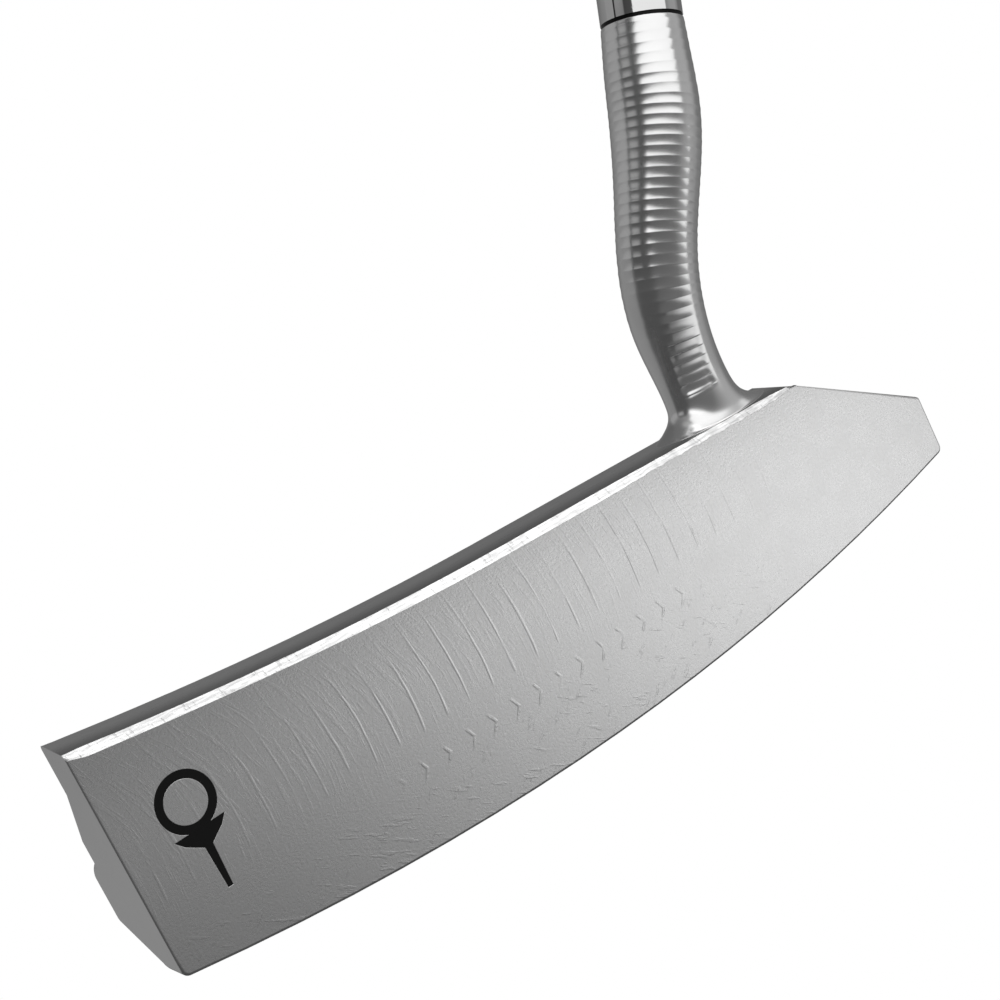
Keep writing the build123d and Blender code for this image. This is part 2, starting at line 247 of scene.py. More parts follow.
def cut_chamfer():
    """Bright chamfer with the grey streaks and ticks of a coarse cutter."""
    material, tree, shader, place = start_material("cut_chamfer")
    shader.inputs["Metallic"].default_value = 1.0
    streak = grain(tree, stretched(tree, place, (0.16, 1.6, 1.6)), 2.2, 3.0, 0.6)
    tick = grain(tree, stretched(tree, place, (2.6, 0.5, 0.5)), 1.0, 2.0, 0.6)
    tick = remap(tree, tick, 0.58, 0.70)
    colour = remap(tree, streak, 0.38, 0.58, 0.66, 0.95)
    colour = calc(tree, "MULTIPLY", colour, calc(tree, "MULTIPLY_ADD", tick, -0.22, 1.0))
    rough = calc(tree, "MULTIPLY_ADD", streak, 0.15, 0.24)
    height = calc(tree, "MULTIPLY_ADD", streak, 0.012, calc(tree, "MULTIPLY", tick, 0.010))
    set_look(tree, shader, colour, rough, height)
    return material


def topline_steel_painted_shade():
    """Crowned topline with painted shade: its colour is darker along the chamfer and along its back
    edge.
    """
    material, tree, shader, place = start_material("topline_steel_painted_shade")
    shader.inputs["Metallic"].default_value = 1.0
    y, = split(tree, place, "Y")
    lines = grain(tree, stretched(tree, place, (0.04, 1.0, 1.0)), 7.0, 3.0, 0.6)
    # painted shade: the colour darkens from the back towards the chamfer, and again at the back
    # edge
    tone = remap(tree, y, 0.8, 4.6, 0.36, 0.74)
    tone = calc(tree, "MULTIPLY", tone, remap(tree, y, 7.0, 6.3, 0.55, 1.0))
    colour = calc(tree, "MULTIPLY", tone, remap(tree, lines, 0.2, 0.8, 0.92, 1.08, smooth=False))
    rough = calc(tree, "MULTIPLY_ADD", lines, 0.10, 0.24)
    set_look(tree, shader, colour, rough, calc(tree, "MULTIPLY", lines, 0.004))
    return material


def chrome():
    """Bright plate with a faint haze and a few scuffs along the shaft."""
    material, tree, shader, place = start_material("shaft_mirror")
    shader.inputs["Metallic"].default_value = 1.0
    haze = grain(tree, place, 0.12, 3.0, 0.6)
    scuff = grain(tree, stretched(tree, place, (1.0, 1.0, 0.08)), 4.0)
    scuff = remap(tree, scuff, 0.62, 0.72)
    colour = calc(tree, "MULTIPLY_ADD", haze, 0.08, 0.59)
    rough = calc(tree, "MULTIPLY_ADD", haze, 0.05, 0.015)
    rough = calc(tree, "MULTIPLY_ADD", scuff, 0.05, rough)
    set_look(tree, shader, colour, rough, calc(tree, "MULTIPLY", scuff, 0.0006))
    return material


MOTTLE = 0.3              # spread of a coating's tone, as a share of it


def coated(name, tone, rough_level, texture_scale, texture_depth, gloss=0.5):
    """Enamel, plastic, paper or rubber: a mottled tone over a fine grain."""
    material, tree, shader, place = start_material(name)
    shader.inputs["Specular IOR Level"].default_value = gloss
    cloud = grain(tree, place, 0.35, 3.0)
    fine = grain(tree, place, texture_scale, 3.0, 0.65)
    colour = calc(tree, "MULTIPLY_ADD", cloud, tone * MOTTLE, tone * (1 - MOTTLE / 2))
    rough = calc(tree, "MULTIPLY_ADD", fine, 0.25, rough_level - 0.12)
    set_look(tree, shader, colour, rough, calc(tree, "MULTIPLY", fine, texture_depth))
    return material


FACE = milled_face()
BODY = satin_steel("satin_body", 0.70, 0.26)
CHAMFER = cut_chamfer()
TOPLINE = topline_steel_painted_shade()
NECK = satin_steel("neck_steel", 0.76, 0.17, 0.0008, (0.6, 0.6, 1.0))
ENAMEL = coated("black_fill", 0.008, 0.45, 6.0, 0.006, gloss=0.25)
GLOSS = coated("ring_gloss", 0.005, 0.35, 5.0, 0.002, gloss=0.12)
RESIN = coated("cured_epoxy", 0.35, 0.35, 2.0, 0.01)
PAPER = coated("tape_paper", 0.55, 0.75, 8.0, 0.02)
RUBBER = coated("grip_rubber_grain", 0.042, 0.55, 5.0, 0.03, gloss=0.6)
CAP_RUBBER = coated("cap_rubber_grain", 0.030, 0.42, 5.0, 0.02, gloss=0.6)

for node, material in (("shaft", chrome()), ("shaft_ring", GLOSS), ("shaft_epoxy", RESIN),
                       ("grip_tape", PAPER), ("face_mark_paint", ENAMEL),
                       ("sight_line_paint", ENAMEL), ("grip_cap", CAP_RUBBER)):
    NODES[node].data.materials[0] = material


# ------------------------------------------------------------------ mesh helpers
def new_piece(name, mesh, slot, *stands_for):
    piece = bpy.data.objects.new(name, mesh)
    SCENE.collection.objects.link(piece)
    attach(piece, "root")
    if stands_for:
        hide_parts(*stands_for)
    return piece


def tube_mesh(name, rows):
    """Quad skin round rows of points, shaped (row, point, 3), with a cap on the last row."""
    count, around = rows.shape[:2]
    index = np.arange(count * around).reshape(count, around)
    right = np.roll(index, -1, axis=1)
    quads = np.stack([index[:-1], right[:-1], right[1:], index[1:]], axis=-1).reshape(-1, 4)
    mesh = bpy.data.meshes.new(name)
    mesh.from_pydata(rows.reshape(-1, 3).tolist(), [], quads.tolist() + [index[-1].tolist()])
    mesh.shade_smooth()
    mesh.update()
    return mesh


def smooth_curve(keys, values, at):
    """Natural cubic spline through the values at their keys."""
    gap = np.diff(keys)
    slope = np.diff(values, axis=0) / gap[:, None]
    system, pull = np.eye(len(keys)), np.zeros_like(values)
    for i in range(1, len(keys) - 1):
        system[i, i - 1:i + 2] = gap[i - 1], 2 * (gap[i - 1] + gap[i]), gap[i]
        pull[i] = 6 * (slope[i] - slope[i - 1])
    bend = np.linalg.solve(system, pull)
    cell = np.clip(np.searchsorted(keys, at, side="right") - 1, 0, len(keys) - 2)
    wide = gap[cell][:, None]
    t = (at - keys[cell])[:, None] / wide
    line = (1 - t) * values[cell] + t * values[cell + 1]
    sag = ((1 - t) ** 3 - (1 - t)) * bend[cell] + (t**3 - t) * bend[cell + 1]
    return line + wide**2 / 6 * sag


def ease(value, low, high):
    """Smooth step from 0 at low to 1 at high."""
    t = np.clip((value - low) / (high - low), 0, 1)
    return t * t * (3 - 2 * t)


# ------------------------------------------------------------------ blade
# millimetres, as the head was drawn
NECK_X, NECK_Y = 30.8, 4.2                # middle of the neck's foot
FOOT_REACH, TAIL_REACH = 10.0, 8.0        # half width of the foot on the topline and behind it
TOPLINE_HEEL_X, TOPLINE_HEEL_Z = 39.4, 11.58
TOPLINE_RISE = 0.03563                    # per millimetre towards the toe
TOPLINE_BACK = 7.2
BACK_WALL_Y, BACK_WALL_Z = 6.97, 10.5     # the foot covers the wall behind and above this
CROWN_SLOPE = math.tan(math.radians(8.0))
ABOVE_CROWN = 0.03
FOOT_CLEAR_Z = 20.0                       # nothing but the neck is higher than this


def crown(x, y):
    """Height in millimetres of the topline's crowned surface near the neck."""
    return TOPLINE_HEEL_Z + (TOPLINE_HEEL_X - x) * TOPLINE_RISE + y * CROWN_SLOPE


def is_neck(vertex):
    x, y, z = vertex.co / MM
    aside = abs(x - NECK_X)
    if aside > FOOT_REACH and z < FOOT_CLEAR_Z:
        return False
    behind = y > BACK_WALL_Y and z > BACK_WALL_Z and aside < TAIL_REACH
    return z > crown(x, y) + ABOVE_CROWN or behind


CHAMFER_WIDTH = 0.9
# the chamfer is cut across here, closely where its width changes
CHAMFER_CUTS = [*np.arange(-58.0, -54.0, 0.5), *np.arange(-53.0, 8.0, 3.0),
                *np.arange(8.0, 39.2, 0.6)]
TOE_STRIP_X = -57.4
# the blade's materials after its body steel
FACE_MATERIAL, CHAMFER_MATERIAL, TOPLINE_MATERIAL = 1, 2, 3
SAME_PLACE, SAME_PLANE = 0.002 * MM, math.radians(0.05)
SHARP_ANGLE = math.radians(28)
BEVEL_WIDTH = 0.36 * MM
BEVEL_ROOM = 0.45         # the widest bevel, as a share of the shortest edge it runs over
FINE_EDGE = 0.14          # share of the bevel left on the chamfer and round the engravings
# where the engravings lie: the face mark along X and Z, the sight line along Y and Z
MARK_X, MARK_Z = (-55.0, -46.0), (-2.0, 13.0)
SIGHT_Y, SIGHT_Z = (9.0, 23.0), (-6.0, -4.5)


def chamfer_share(x):
    """Share of the chamfer's width at x: it runs out at both ends and wavers near the neck."""
    toe, heel = ease(x, -58.6, -56.2), 1 - ease(x, 35.5, 39.6)
    near_neck = ease(x, 8.0, 18.0)
    waver = 0.07 * math.sin(1.9 * x) + 0.05 * math.sin(4.3 * x + 1.0)
    return (0.62 + 0.38 * toe) * (0.5 + 0.5 * heel) * (1 + near_neck * (waver - 0.22))


def is_front(face):
    return face.normal.y < -0.98


def is_chamfer(face):
    return face.normal.y < -0.5 and face.normal.z > 0.5


def chamfer_strip(bm):
    bm.normal_update()
    return [f for f in bm.faces if is_chamfer(f)]


def cut_across(bm, faces, x):
    """Cuts the faces along a plane of constant X, given in millimetres."""
    edges, verts = {e for f in faces for e in f.edges}, {v for f in faces for v in f.verts}
    bmesh.ops.bisect_plane(bm, geom=[*faces, *edges, *verts], plane_co=(x * MM, 0, 0),
                           plane_no=(1, 0, 0), dist=1e-7)


def shape_chamfer(bm):
    """Gives the plain chamfer its wavering width."""
    strip = set(chamfer_strip(bm))
    inner = [e for e in bm.edges
             if len(e.link_faces) == 2 and all(f in strip for f in e.link_faces)]
    bmesh.ops.dissolve_edges(bm, edges=inner, use_verts=False)
    for x in CHAMFER_CUTS:
        cut_across(bm, chamfer_strip(bm), x)
    for vertex in {v for f in chamfer_strip(bm) for v in f.verts}:
        spare = CHAMFER_WIDTH * (1 - chamfer_share(vertex.co.x / MM)) * MM
        across = min(vertex.co.y / MM / CHAMFER_WIDTH, 1.0)
        vertex.co.y -= spare * across
        vertex.co.z += spare * (1 - across - across * CROWN_SLOPE)


def clear_toe_corner(bm):
    """A plain strip of face along the toe edge, so that its corner joins nothing further in."""
    cut_across(bm, [f for f in bm.faces if is_front(f)], TOE_STRIP_X)
    bm.normal_update()
    cut, near = TOE_STRIP_X * MM, 0.001 * MM
    inner = [e for e in bm.edges if len(e.link_faces) == 2
             and all(is_front(f) for f in e.link_faces)
             and all(v.co.x < cut + near for v in e.verts)
             and not all(abs(v.co.x - cut) < near for v in e.verts)]
    bmesh.ops.dissolve_edges(bm, edges=inner, use_verts=False)
    bm.normal_update()


def close_neck_hole(bm):
    rim = [e for e in bm.edges if e.is_boundary]
    bmesh.ops.triangle_fill(bm, edges=rim, use_beauty=True)
    bmesh.ops.recalc_face_normals(bm, faces=bm.faces)


def is_sharp(edge):
    return len(edge.link_faces) == 2 and edge.calc_face_angle() > SHARP_ANGLE


def room(vertex, outline):
    """Shortest edge a bevel could run over; along the face's outline only the flat edges count."""
    flat = [e for e in vertex.link_edges if not is_sharp(e)]
    in_line = outline and len(vertex.link_edges) - len(flat) == 2
    return min((e.calc_length() for e in (flat if in_line else vertex.link_edges)), default=1.0)


def within(value, limits):
    return limits[0] < value < limits[1]


def mark_edges(bm):
    """Bevel weights: full on the outer edges, fine on the chamfer and round the engravings.

    The edges that the neck's foot covers stay sharp.
    """
    weight = bm.edges.layers.float.new("bevel_weight_edge")
    for edge in bm.edges:
        if not is_sharp(edge):
            continue
        x, y, z = sum((v.co for v in edge.verts), Vector()) / 2 / MM
        on_chamfer = any(f.material_index == CHAMFER_MATERIAL for f in edge.link_faces)
        on_mark = within(x, MARK_X) and within(z, MARK_Z) and y < 0.4
        on_sight = abs(x) < 1 and within(y, SIGHT_Y) and within(z, SIGHT_Z)
        share = FINE_EDGE if on_chamfer or on_mark or on_sight else 1.0
        outline = all(v.co.y < 0.1 * MM for v in edge.verts)
        shortest = min(room(v, outline) for v in edge.verts)
        edge[weight] = min(share, BEVEL_ROOM * shortest / BEVEL_WIDTH)
        if abs(x - NECK_X) < 14 and y > 5 and z > 8:
            edge[weight] = 0
            edge.smooth = False


def blade_mesh():
    """The CAD head without its neck, its edges marked for the bevel."""
    bm = bmesh.new()
    bm.from_mesh(NODES["putter_head"].data)
    bmesh.ops.remove_doubles(bm, verts=bm.verts, dist=SAME_PLACE)
    neck = [v for v in bm.verts if is_neck(v)]
    bmesh.ops.delete(bm, geom=neck, context="VERTS")
    bmesh.ops.dissolve_limit(bm, angle_limit=SAME_PLANE, verts=bm.verts, edges=bm.edges,
                             delimit={"NORMAL"})
    close_neck_hole(bm)
    shape_chamfer(bm)
    clear_toe_corner(bm)
    for face in bm.faces:
        face.smooth = True
        y, z = face.calc_center_median().yz / MM
        if is_front(face):
            face.material_index = FACE_MATERIAL
        elif is_chamfer(face):
            face.material_index = CHAMFER_MATERIAL
        elif face.normal.z > 0.9 and z > 11 and y < TOPLINE_BACK:
            face.material_index = TOPLINE_MATERIAL
    mark_edges(bm)
    mesh = bpy.data.meshes.new("blade")
    bm.to_mesh(mesh)
    bm.free()
    for material in (BODY, FACE, CHAMFER, TOPLINE):
        mesh.materials.append(material)
    return mesh


blade = new_piece("blade", blade_mesh(), "milled_steel", "putter_head")
bevel = blade.modifiers.new("edge_break", "BEVEL")
bevel.width = BEVEL_WIDTH
bevel.segments = 3
bevel.limit_method = "WEIGHT"
bevel.use_clamp_overlap = False
bevel.harden_normals = True
bevel.loop_slide = False
shading = blade.modifiers.new("flat_faces_first", "WEIGHTED_NORMAL")
shading.mode = "FACE_AREA"
shading.weight = 100
shading.thresh = 0.001
shading.keep_sharp = True

# ------------------------------------------------------------------ neck with milled rings
# foot, hidden under the crown: height above it, middle X and Y, half width along X and Y
FOOT_ROOT = [(-1.7, 29.7, 3.9, 9.0, 3.1), (-0.6, 29.7, 3.95, 9.3, 3.15)]
FOOT_HEIGHTS = [0.0, 0.2, 0.45, 0.75, 1.1, 1.5, 2.0, 2.6, 3.3, 4.1]
FOOT_TOP = Vector((30.85, 5.6, 17.0))
FOOT_HALF_X, FOOT_HALF_Y = 4.60, 3.85


def foot_section(height):
    """The foot's flare dies away upwards, faster along the blade than across it."""
    def flare(most, reach):
        return most * math.exp(-height / reach)
    return (height, FOOT_TOP.x - flare(0.95, 1.35), FOOT_TOP.y - flare(1.5, 1.4),
            FOOT_HALF_X + flare(4.2, 1.0), FOOT_HALF_Y - flare(0.57, 2.6))


# neck: middle X, Y, Z and radius up to the ring's seat
STATIONS = [
    (30.85, 5.1, 25.0, 4.70),
    (33.1, 4.5, 33.0, 4.96),
    (37.2, 3.8, 41.0, 5.32),
    (41.0, 3.2, 49.0, 5.64),
    (42.5, 2.9, 53.5, 5.47),
    tuple(RING_SEAT / MM) + (5.12,),
]
RING_PITCH = 1.27
RING_DEPTH = 0.034
FIRST_RING = 0.55         # below the ring's seat
MOST_RINGS = 60
RINGS_START = (16.0, 17.0)                # heights over which the rings set in
SHINGLES_END = (22.5, 25.5)               # below this they stand out towards their lower edge
SHINGLE_DEPTH = 1.9
DEEPER_BELOW = ((0.5, 33.0, 46.0), (2.2, 20.0, 24.0))     # extra depth, and where it ends
ALL_ROUND = (22.5, 30.0)                  # below this they lie round the front sector only
FRONT_SECTOR, SECTOR_EDGE = math.radians(-115), (0.34, 0.56)
RIPPLE, RIPPLE_START = 0.012, (17.0, 26.0)
FOOT_ROWS, NECK_ROWS, AROUND = 260, 460, 136


def ring_relief(down, z, turn):
    """Depth of the scalloped rings that a ball-nosed cutter leaves, shaped (row, point)."""
    phase = (down - FIRST_RING) / RING_PITCH
    rng = np.random.default_rng(7)
    ring = np.clip(np.floor(phase).astype(int), 0, MOST_RINGS - 1)
    strength = rng.uniform(0.75, 1.15, MOST_RINGS)[ring]
    along = phase - np.floor(phase)
    shingle = 1 - ease(z, *SHINGLES_END)
    hollow = (1 - shingle) * (1 - (2 * along - 1) ** 2) + shingle * (1 - along**2) * SHINGLE_DEPTH
    deeper = 1 + sum(extra * (1 - ease(z, low, high)) for extra, low, high in DEEPER_BELOW)
    sector = np.abs((turn[None, :] - FRONT_SECTOR + math.pi) % (2 * math.pi) - math.pi)
    front = 1 - ease(sector, *SECTOR_EDGE)
    fade = front + (1 - front) * ease(z, *ALL_ROUND)[:, None]
    fade *= ease(z, *RINGS_START)[:, None]
    return RING_DEPTH * (strength * hollow * deeper)[:, None] * fade


def neck_rows():
    """Rows of points round the neck, from under the crown up to the ring's seat."""
    base = crown(NECK_X, NECK_Y)
    foot = FOOT_ROOT + [foot_section(height) for height in FOOT_HEIGHTS]
    # a row: middle X, Y and Z, two half widths, heading X, Y and Z, how far it follows the crown
    rows = []
    for height, x, y, half_x, half_y in foot:
        follow = 1.0 - ease(height, 0.0, 3.2)
        rows.append((x, y, base + height, half_x, half_y, 0.0, -0.03, 1.0, follow))
    middles = [Vector(s[:3]) for s in STATIONS]
    for i, (x, y, z, radius) in enumerate(STATIONS):
        if i == len(STATIONS) - 1:
            heading = SHAFT_DIR
        else:
            heading = (middles[i + 1] - (middles[i - 1] if i else FOOT_TOP)).normalized()
        rows.append((x, y, z, radius, radius, *heading, 0.0))
    rows = np.array(rows)
    step = np.diff(rows[:, :5], axis=0)
    keys = np.concatenate([[0], np.cumsum(np.sqrt((step**2).sum(1)))])
    foot_end = keys[len(foot)]
    at = np.concatenate([np.linspace(0, foot_end, FOOT_ROWS, endpoint=False),
                         np.linspace(foot_end, keys[-1], NECK_ROWS)])
    path = smooth_curve(keys, rows, at)
    middle_line, half_x, half_y = path[:, :3], path[:, 3], path[:, 4]
    heading = path[:, 5:8] / np.linalg.norm(path[:, 5:8], axis=1)[:, None]
    follow = np.clip(path[:, 8], 0, 1)
    down = np.concatenate([[0], np.cumsum(np.linalg.norm(np.diff(middle_line, axis=0), axis=1))])
    down = down[-1] - down                      # millimetres below the ring's seat
    turn = np.linspace(0, 2 * math.pi, AROUND, endpoint=False)
    across_x = np.cross([0.0, 1.0, 0.0], heading)
    across_x /= np.linalg.norm(across_x, axis=1)[:, None]
    across_y = np.cross(heading, across_x)
    z = middle_line[:, 2]
    cut = ring_relief(down, z, turn)
    circle_x, circle_y = np.cos(turn)[None, :], np.sin(turn)[None, :]
    ripple = np.array([[noise.noise(Vector((3 * math.cos(t), 3 * math.sin(t), s * 0.9)))
                        for t in turn] for s in down])
    ripple = ripple * RIPPLE * ease(z, *RIPPLE_START)[:, None]
    points = (middle_line[:, None, :]
              + (circle_x * (half_x[:, None] - cut + ripple))[:, :, None] * across_x[:, None, :]
              + (circle_y * (half_y[:, None] - cut + ripple))[:, :, None] * across_y[:, None, :])
    lift = crown(points[..., 0], points[..., 1]) - base
    points[..., 2] += lift * follow[:, None]
    return points * MM


# the shoulder's edge is broken by a last, slightly smaller row
TOP_EDGE_SHARE, TOP_EDGE_RISE = 0.985, 0.05 * MM
rows, seat = neck_rows(), np.array(RING_SEAT)
top_edge = seat + (rows[-1] - seat) * TOP_EDGE_SHARE + np.array(SHAFT_DIR) * TOP_EDGE_RISE
neck_mesh = tube_mesh("neck", np.concatenate([rows, top_edge[None]]))
neck_mesh.materials.append(NECK)
new_piece("neck", neck_mesh, "milled_steel", "putter_head")

# ------------------------------------------------------------------ grip
GRIP_LOW = 524.0          # mouth of the grip above the ring's seat
GRIP_LENGTH = 262.0
# height above the mouth, width, depth, shift to the thumb side
GRIP_SECTIONS = [
    (0.0, 18.6, 18.6, 0.0),
    (70.0, 20.0, 20.4, -0.2),
    (150.0, 22.2, 23.0, -0.5),
    (195.0, 23.2, 25.0, -1.2),
    (225.0, 24.0, 27.8, -2.4),
    (245.0, 24.6, 30.0, -3.3),
    (GRIP_LENGTH, 24.0, 29.0, -3.0),
]
GRIP_ROUND = 0.44         # corner radius as a share of the width
GRIP_SKIN = 0.02          # the skin lies this far inside the solid's surface
GRIP_ROWS, GRIP_AROUND = 430, 132
RIB_PITCH, RIB_DEPTH = 3.4, 0.5
WEAVE_PITCH, WEAVE_DEPTH = 3.0, 0.42
RIB_SPAN, WEAVE_SPAN = (14, 20, 236, 242), (10, 16, 244, 250)
OUTLINE_SHARE = 0.86      # outline of a section over twice its width and depth
MOUTH_SHARE = 0.80        # bore at the mouth over the outside
MOUTH_ROUND, MOUTH_ROUND_END = 0.5, 1.2
CORNER_POINTS = 24


def rounded_section(count, half_u, half_v, corner):
    """Points round a rounded rectangle, evenly by arc length."""
    pts = []
    for cu, cv, start in ((1, 1, 0), (-1, 1, 90), (-1, -1, 180), (1, -1, 270)):
        for a in np.linspace(start, start + 90, CORNER_POINTS):
            r = math.radians(a)
            pts.append((cu * (half_u - corner) + corner * math.cos(r),
                        cv * (half_v - corner) + corner * math.sin(r)))
    pts.append(pts[0])
    pts = np.array(pts)
    run = np.concatenate([[0], np.cumsum(np.linalg.norm(np.diff(pts, axis=0), axis=1))])
    at = np.linspace(0, run[-1], count, endpoint=False)
    return np.stack([np.interp(at, run, pts[:, 0]), np.interp(at, run, pts[:, 1])], axis=1)


def between(value, start, full, fading, end):
    """1 from full to fading, 0 before start and after end."""
    return ease(value, start, full) * (1 - ease(value, fading, end))


def grip_rows():
    """Rows of points round the grip: ribs on the thumb side, diamonds elsewhere."""
    sections = np.array(GRIP_SECTIONS)
    above = np.linspace(0, GRIP_LENGTH, GRIP_ROWS)
    size = smooth_curve(sections[:, 0], sections[:, 1:], above)
    rows = []
    for s, (width, depth, shift) in zip(above, size):
        section = rounded_section(GRIP_AROUND, depth / 2 - GRIP_SKIN, width / 2 - GRIP_SKIN,
                                  width * GRIP_ROUND)
        ahead = np.roll(section, -1, axis=0) - np.roll(section, 1, axis=0)
        normal = np.stack([ahead[:, 1], -ahead[:, 0]], axis=1)
        normal /= np.linalg.norm(normal, axis=1)[:, None]
        thumb = normal[:, 0]                    # 1 on the thumb side, -1 on the back
        ribs = RIB_DEPTH * (0.5 - 0.5 * math.cos(2 * math.pi * s / RIB_PITCH))
        pressed = ribs * ease(thumb, 0.80, 0.93) * between(s, *RIB_SPAN)
        run = np.arange(GRIP_AROUND) * (2 * (width + depth) * OUTLINE_SHARE / GRIP_AROUND)
        weave = (np.abs(np.sin(math.pi * (s + run) / WEAVE_PITCH))
                 * np.abs(np.sin(math.pi * (s - run) / WEAVE_PITCH)))
        pressed += WEAVE_DEPTH * weave * ease(-thumb, -0.45, -0.25) * between(s, *WEAVE_SPAN)
        pressed += MOUTH_ROUND * (1 - ease(s, 0.0, MOUTH_ROUND_END))
        section = section - normal * pressed[:, None]
        centre = np.array(RING_SEAT) / MM + np.array(SHAFT_DIR) * (GRIP_LOW + s)
        rows.append(centre + (section[:, :1] + shift) * np.array(THUMB_SIDE)
                    + section[:, 1:] * np.array(GRIP_SIDE))
    rows = np.array(rows)
    mouth = np.array(RING_SEAT) / MM + np.array(SHAFT_DIR) * GRIP_LOW
    inner = mouth + (rows[0] - mouth) * MOUTH_SHARE
    return np.concatenate([inner[None], rows]) * MM


grip_mesh = tube_mesh("grip_skin", grip_rows())
grip_mesh.materials.append(RUBBER)
new_piece("grip_skin", grip_mesh, "grip_rubber", "grip")

# ------------------------------------------------------------------ floor and studio cards
FLOOR_HALF, FLOOR_GAP = 6.0, 0.0002       # metres


def stage_panel(name, corners):
    """Flat panel of the studio and its material's tree, which has no surface shader yet."""
    mesh = bpy.data.meshes.new(name)
    mesh.from_pydata(corners, [], [(0, 1, 2, 3)])
    paint = bpy.data.materials.new(name + "_glow")
    paint.use_nodes = True
    paint.node_tree.nodes.remove(paint.node_tree.nodes["Principled BSDF"])
    mesh.materials.append(paint)
    panel = bpy.data.objects.new(name, mesh)
    SCENE.collection.objects.link(panel)
    panel.visible_diffuse = False
    panel.visible_shadow = False
    panel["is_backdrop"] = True
    return panel, paint.node_tree


def upright(x_low, x_high, z_low, z_high, y):
    """Corners in metres of a panel that faces along Y."""
    return [(x * MM, y * MM, z * MM) for x, z in
            ((x_low, z_low), (x_high, z_low), (x_high, z_high), (x_low, z_high))]


def glow_card(name, corners, strength, cover):
    """Light panel; strength and cover (opaque where 1) depend on X and Z in millimetres."""
    panel, tree = stage_panel(name, corners)
    panel.visible_camera = False
    x, z = split(tree, millimetres(tree), "XZ")
    shine = put(tree, "Emission", {"Color": (1, 1, 1, 1), "Strength": strength(tree, x, z)})
    clear = put(tree, "BsdfTransparent")
    mixed = put(tree, "MixShader", {0: cover(tree, x, z), 1: clear, 2: shine})
    tree.links.new(mixed, tree.nodes["Material Output"].inputs["Surface"])


floor_z = HEAD_LOW.z - FLOOR_GAP
floor, floor_tree = stage_panel("floor", [(x * FLOOR_HALF, y * FLOOR_HALF, floor_z)
                                          for x, y in ((-1, -1), (1, -1), (1, 1), (-1, 1))])
floor.visible_glossy = False
glow = put(floor_tree, "Emission", {"Color": (1, 1, 1, 1), "Strength": 1.0})
floor_tree.links.new(glow, floor_tree.nodes["Material Output"].inputs["Surface"])

# low card: the satin face mirrors it from toe to heel; pairs of X and strength
CARD_Y, CARD_LOW_Z, CARD_HIGH_Z = -100.0, -72.0, -3.0
CARD_STOPS = [(-60, 0.27), (-15, 0.34), (17, 0.59), (50, 0.86), (82, 0.98), (131, 1.06),
              (175, 1.06)]


def face_glow(tree, x, z):
    glow = CARD_STOPS[0][1]
    for (low, _), (high, value) in zip(CARD_STOPS, CARD_STOPS[1:]):
        glow = blend(tree, remap(tree, x, low, high, smooth=False), glow, value)
    # weaker low down on the toe side, and soft along the top
    weaker = calc(tree, "MULTIPLY", remap(tree, z, -8.0, -46.0, 0.0, 0.48, smooth=False),
                  remap(tree, x, 100.0, 20.0, smooth=False))
    glow = calc(tree, "MULTIPLY", glow, calc(tree, "SUBTRACT", 1.0, weaker))
    return calc(tree, "MULTIPLY", glow, remap(tree, z, -3.0, -11.0, 0.4, 1.0))


face_card = upright(CARD_STOPS[0][0], CARD_STOPS[-1][0], CARD_LOW_Z, CARD_HIGH_Z, CARD_Y)
glow_card("face_card", face_card, face_glow, lambda tree, x, z: 1.0)

# softbox in front of the neck, its lower edge curving down towards the heel
BOX_Y, BOX_LEFT, BOX_RIGHT, BOX_LOW, BOX_TOP = -60.0, -36.0, 95.0, 40.0, 240.0
BOX_EDGE_Z, BOX_EDGE_SLOPE, BOX_EDGE_BEND = 73.2, -0.66, 0.0034
BOX_STRENGTH, BOX_SOFT = 1.25, 4.0


def box_cover(tree, x, z):
    edge_z = calc(tree, "MULTIPLY_ADD", x, BOX_EDGE_BEND, BOX_EDGE_SLOPE)
    above = calc(tree, "SUBTRACT", z, calc(tree, "MULTIPLY_ADD", edge_z, x, BOX_EDGE_Z))
    cover = calc(tree, "MULTIPLY", remap(tree, above, 0.0, BOX_SOFT),
                 remap(tree, x, BOX_LEFT, BOX_LEFT + BOX_SOFT))
    return calc(tree, "MULTIPLY", cover, remap(tree, x, BOX_RIGHT, BOX_RIGHT - 2 * BOX_SOFT))


glow_card("neck_softbox", upright(BOX_LEFT, BOX_RIGHT, BOX_LOW, BOX_TOP, BOX_Y),
          lambda tree, x, z: BOX_STRENGTH, box_cover)

# ------------------------------------------------------------------ studio light
# radiance round the horizon by compass angle in degrees: 0 heel, 90 back, 180 toe, 270 front
LOW_BAND = [(0, 0.20), (51, 0.17), (75, 0.20), (100, 0.30), (150, 0.27), (160, 0.09),
            (214, 0.09), (222, 0.13), (290, 0.16), (303, 0.27), (322, 0.44), (342, 0.46),
            (352, 0.34), (360, 0.20)]
GROUND_BAND = [(0, 0.25), (51, 0.17), (75, 0.20), (100, 0.34), (150, 0.27), (160, 0.09),
               (214, 0.08), (222, 0.08), (285, 0.16), (303, 0.30), (330, 0.38), (345, 0.35),
               (360, 0.25)]
HIGH_BAND = [(0, 0.24), (51, 0.15), (85, 0.15), (100, 0.38), (152, 0.40), (153.5, 0.02),
             (158.5, 0.02), (160, 0.43), (188, 0.40), (192, 0.06), (213, 0.07),
             (219, 1.5), (290, 1.5), (304, 0.9),
             (318, 0.6), (332, 0.5), (340, 0.9), (350, 0.9), (356, 0.25), (360, 0.24)]
UPPER_BAND = [(0, 0.24), (51, 0.15), (85, 0.15), (100, 0.30), (150, 0.30), (157, 0.10),
              (201, 0.10), (214, 0.30), (222, 0.50), (300, 0.42), (322, 0.45),
              (332, 1.8), (351, 1.8), (357, 0.25),
              (360, 0.24)]
ZENITH_BAND = [(0, 0.30), (51, 0.17), (150, 0.22), (214, 0.30), (318, 0.42), (330, 1.8), (351, 1.9),
               (357, 0.4), (360, 0.30)]
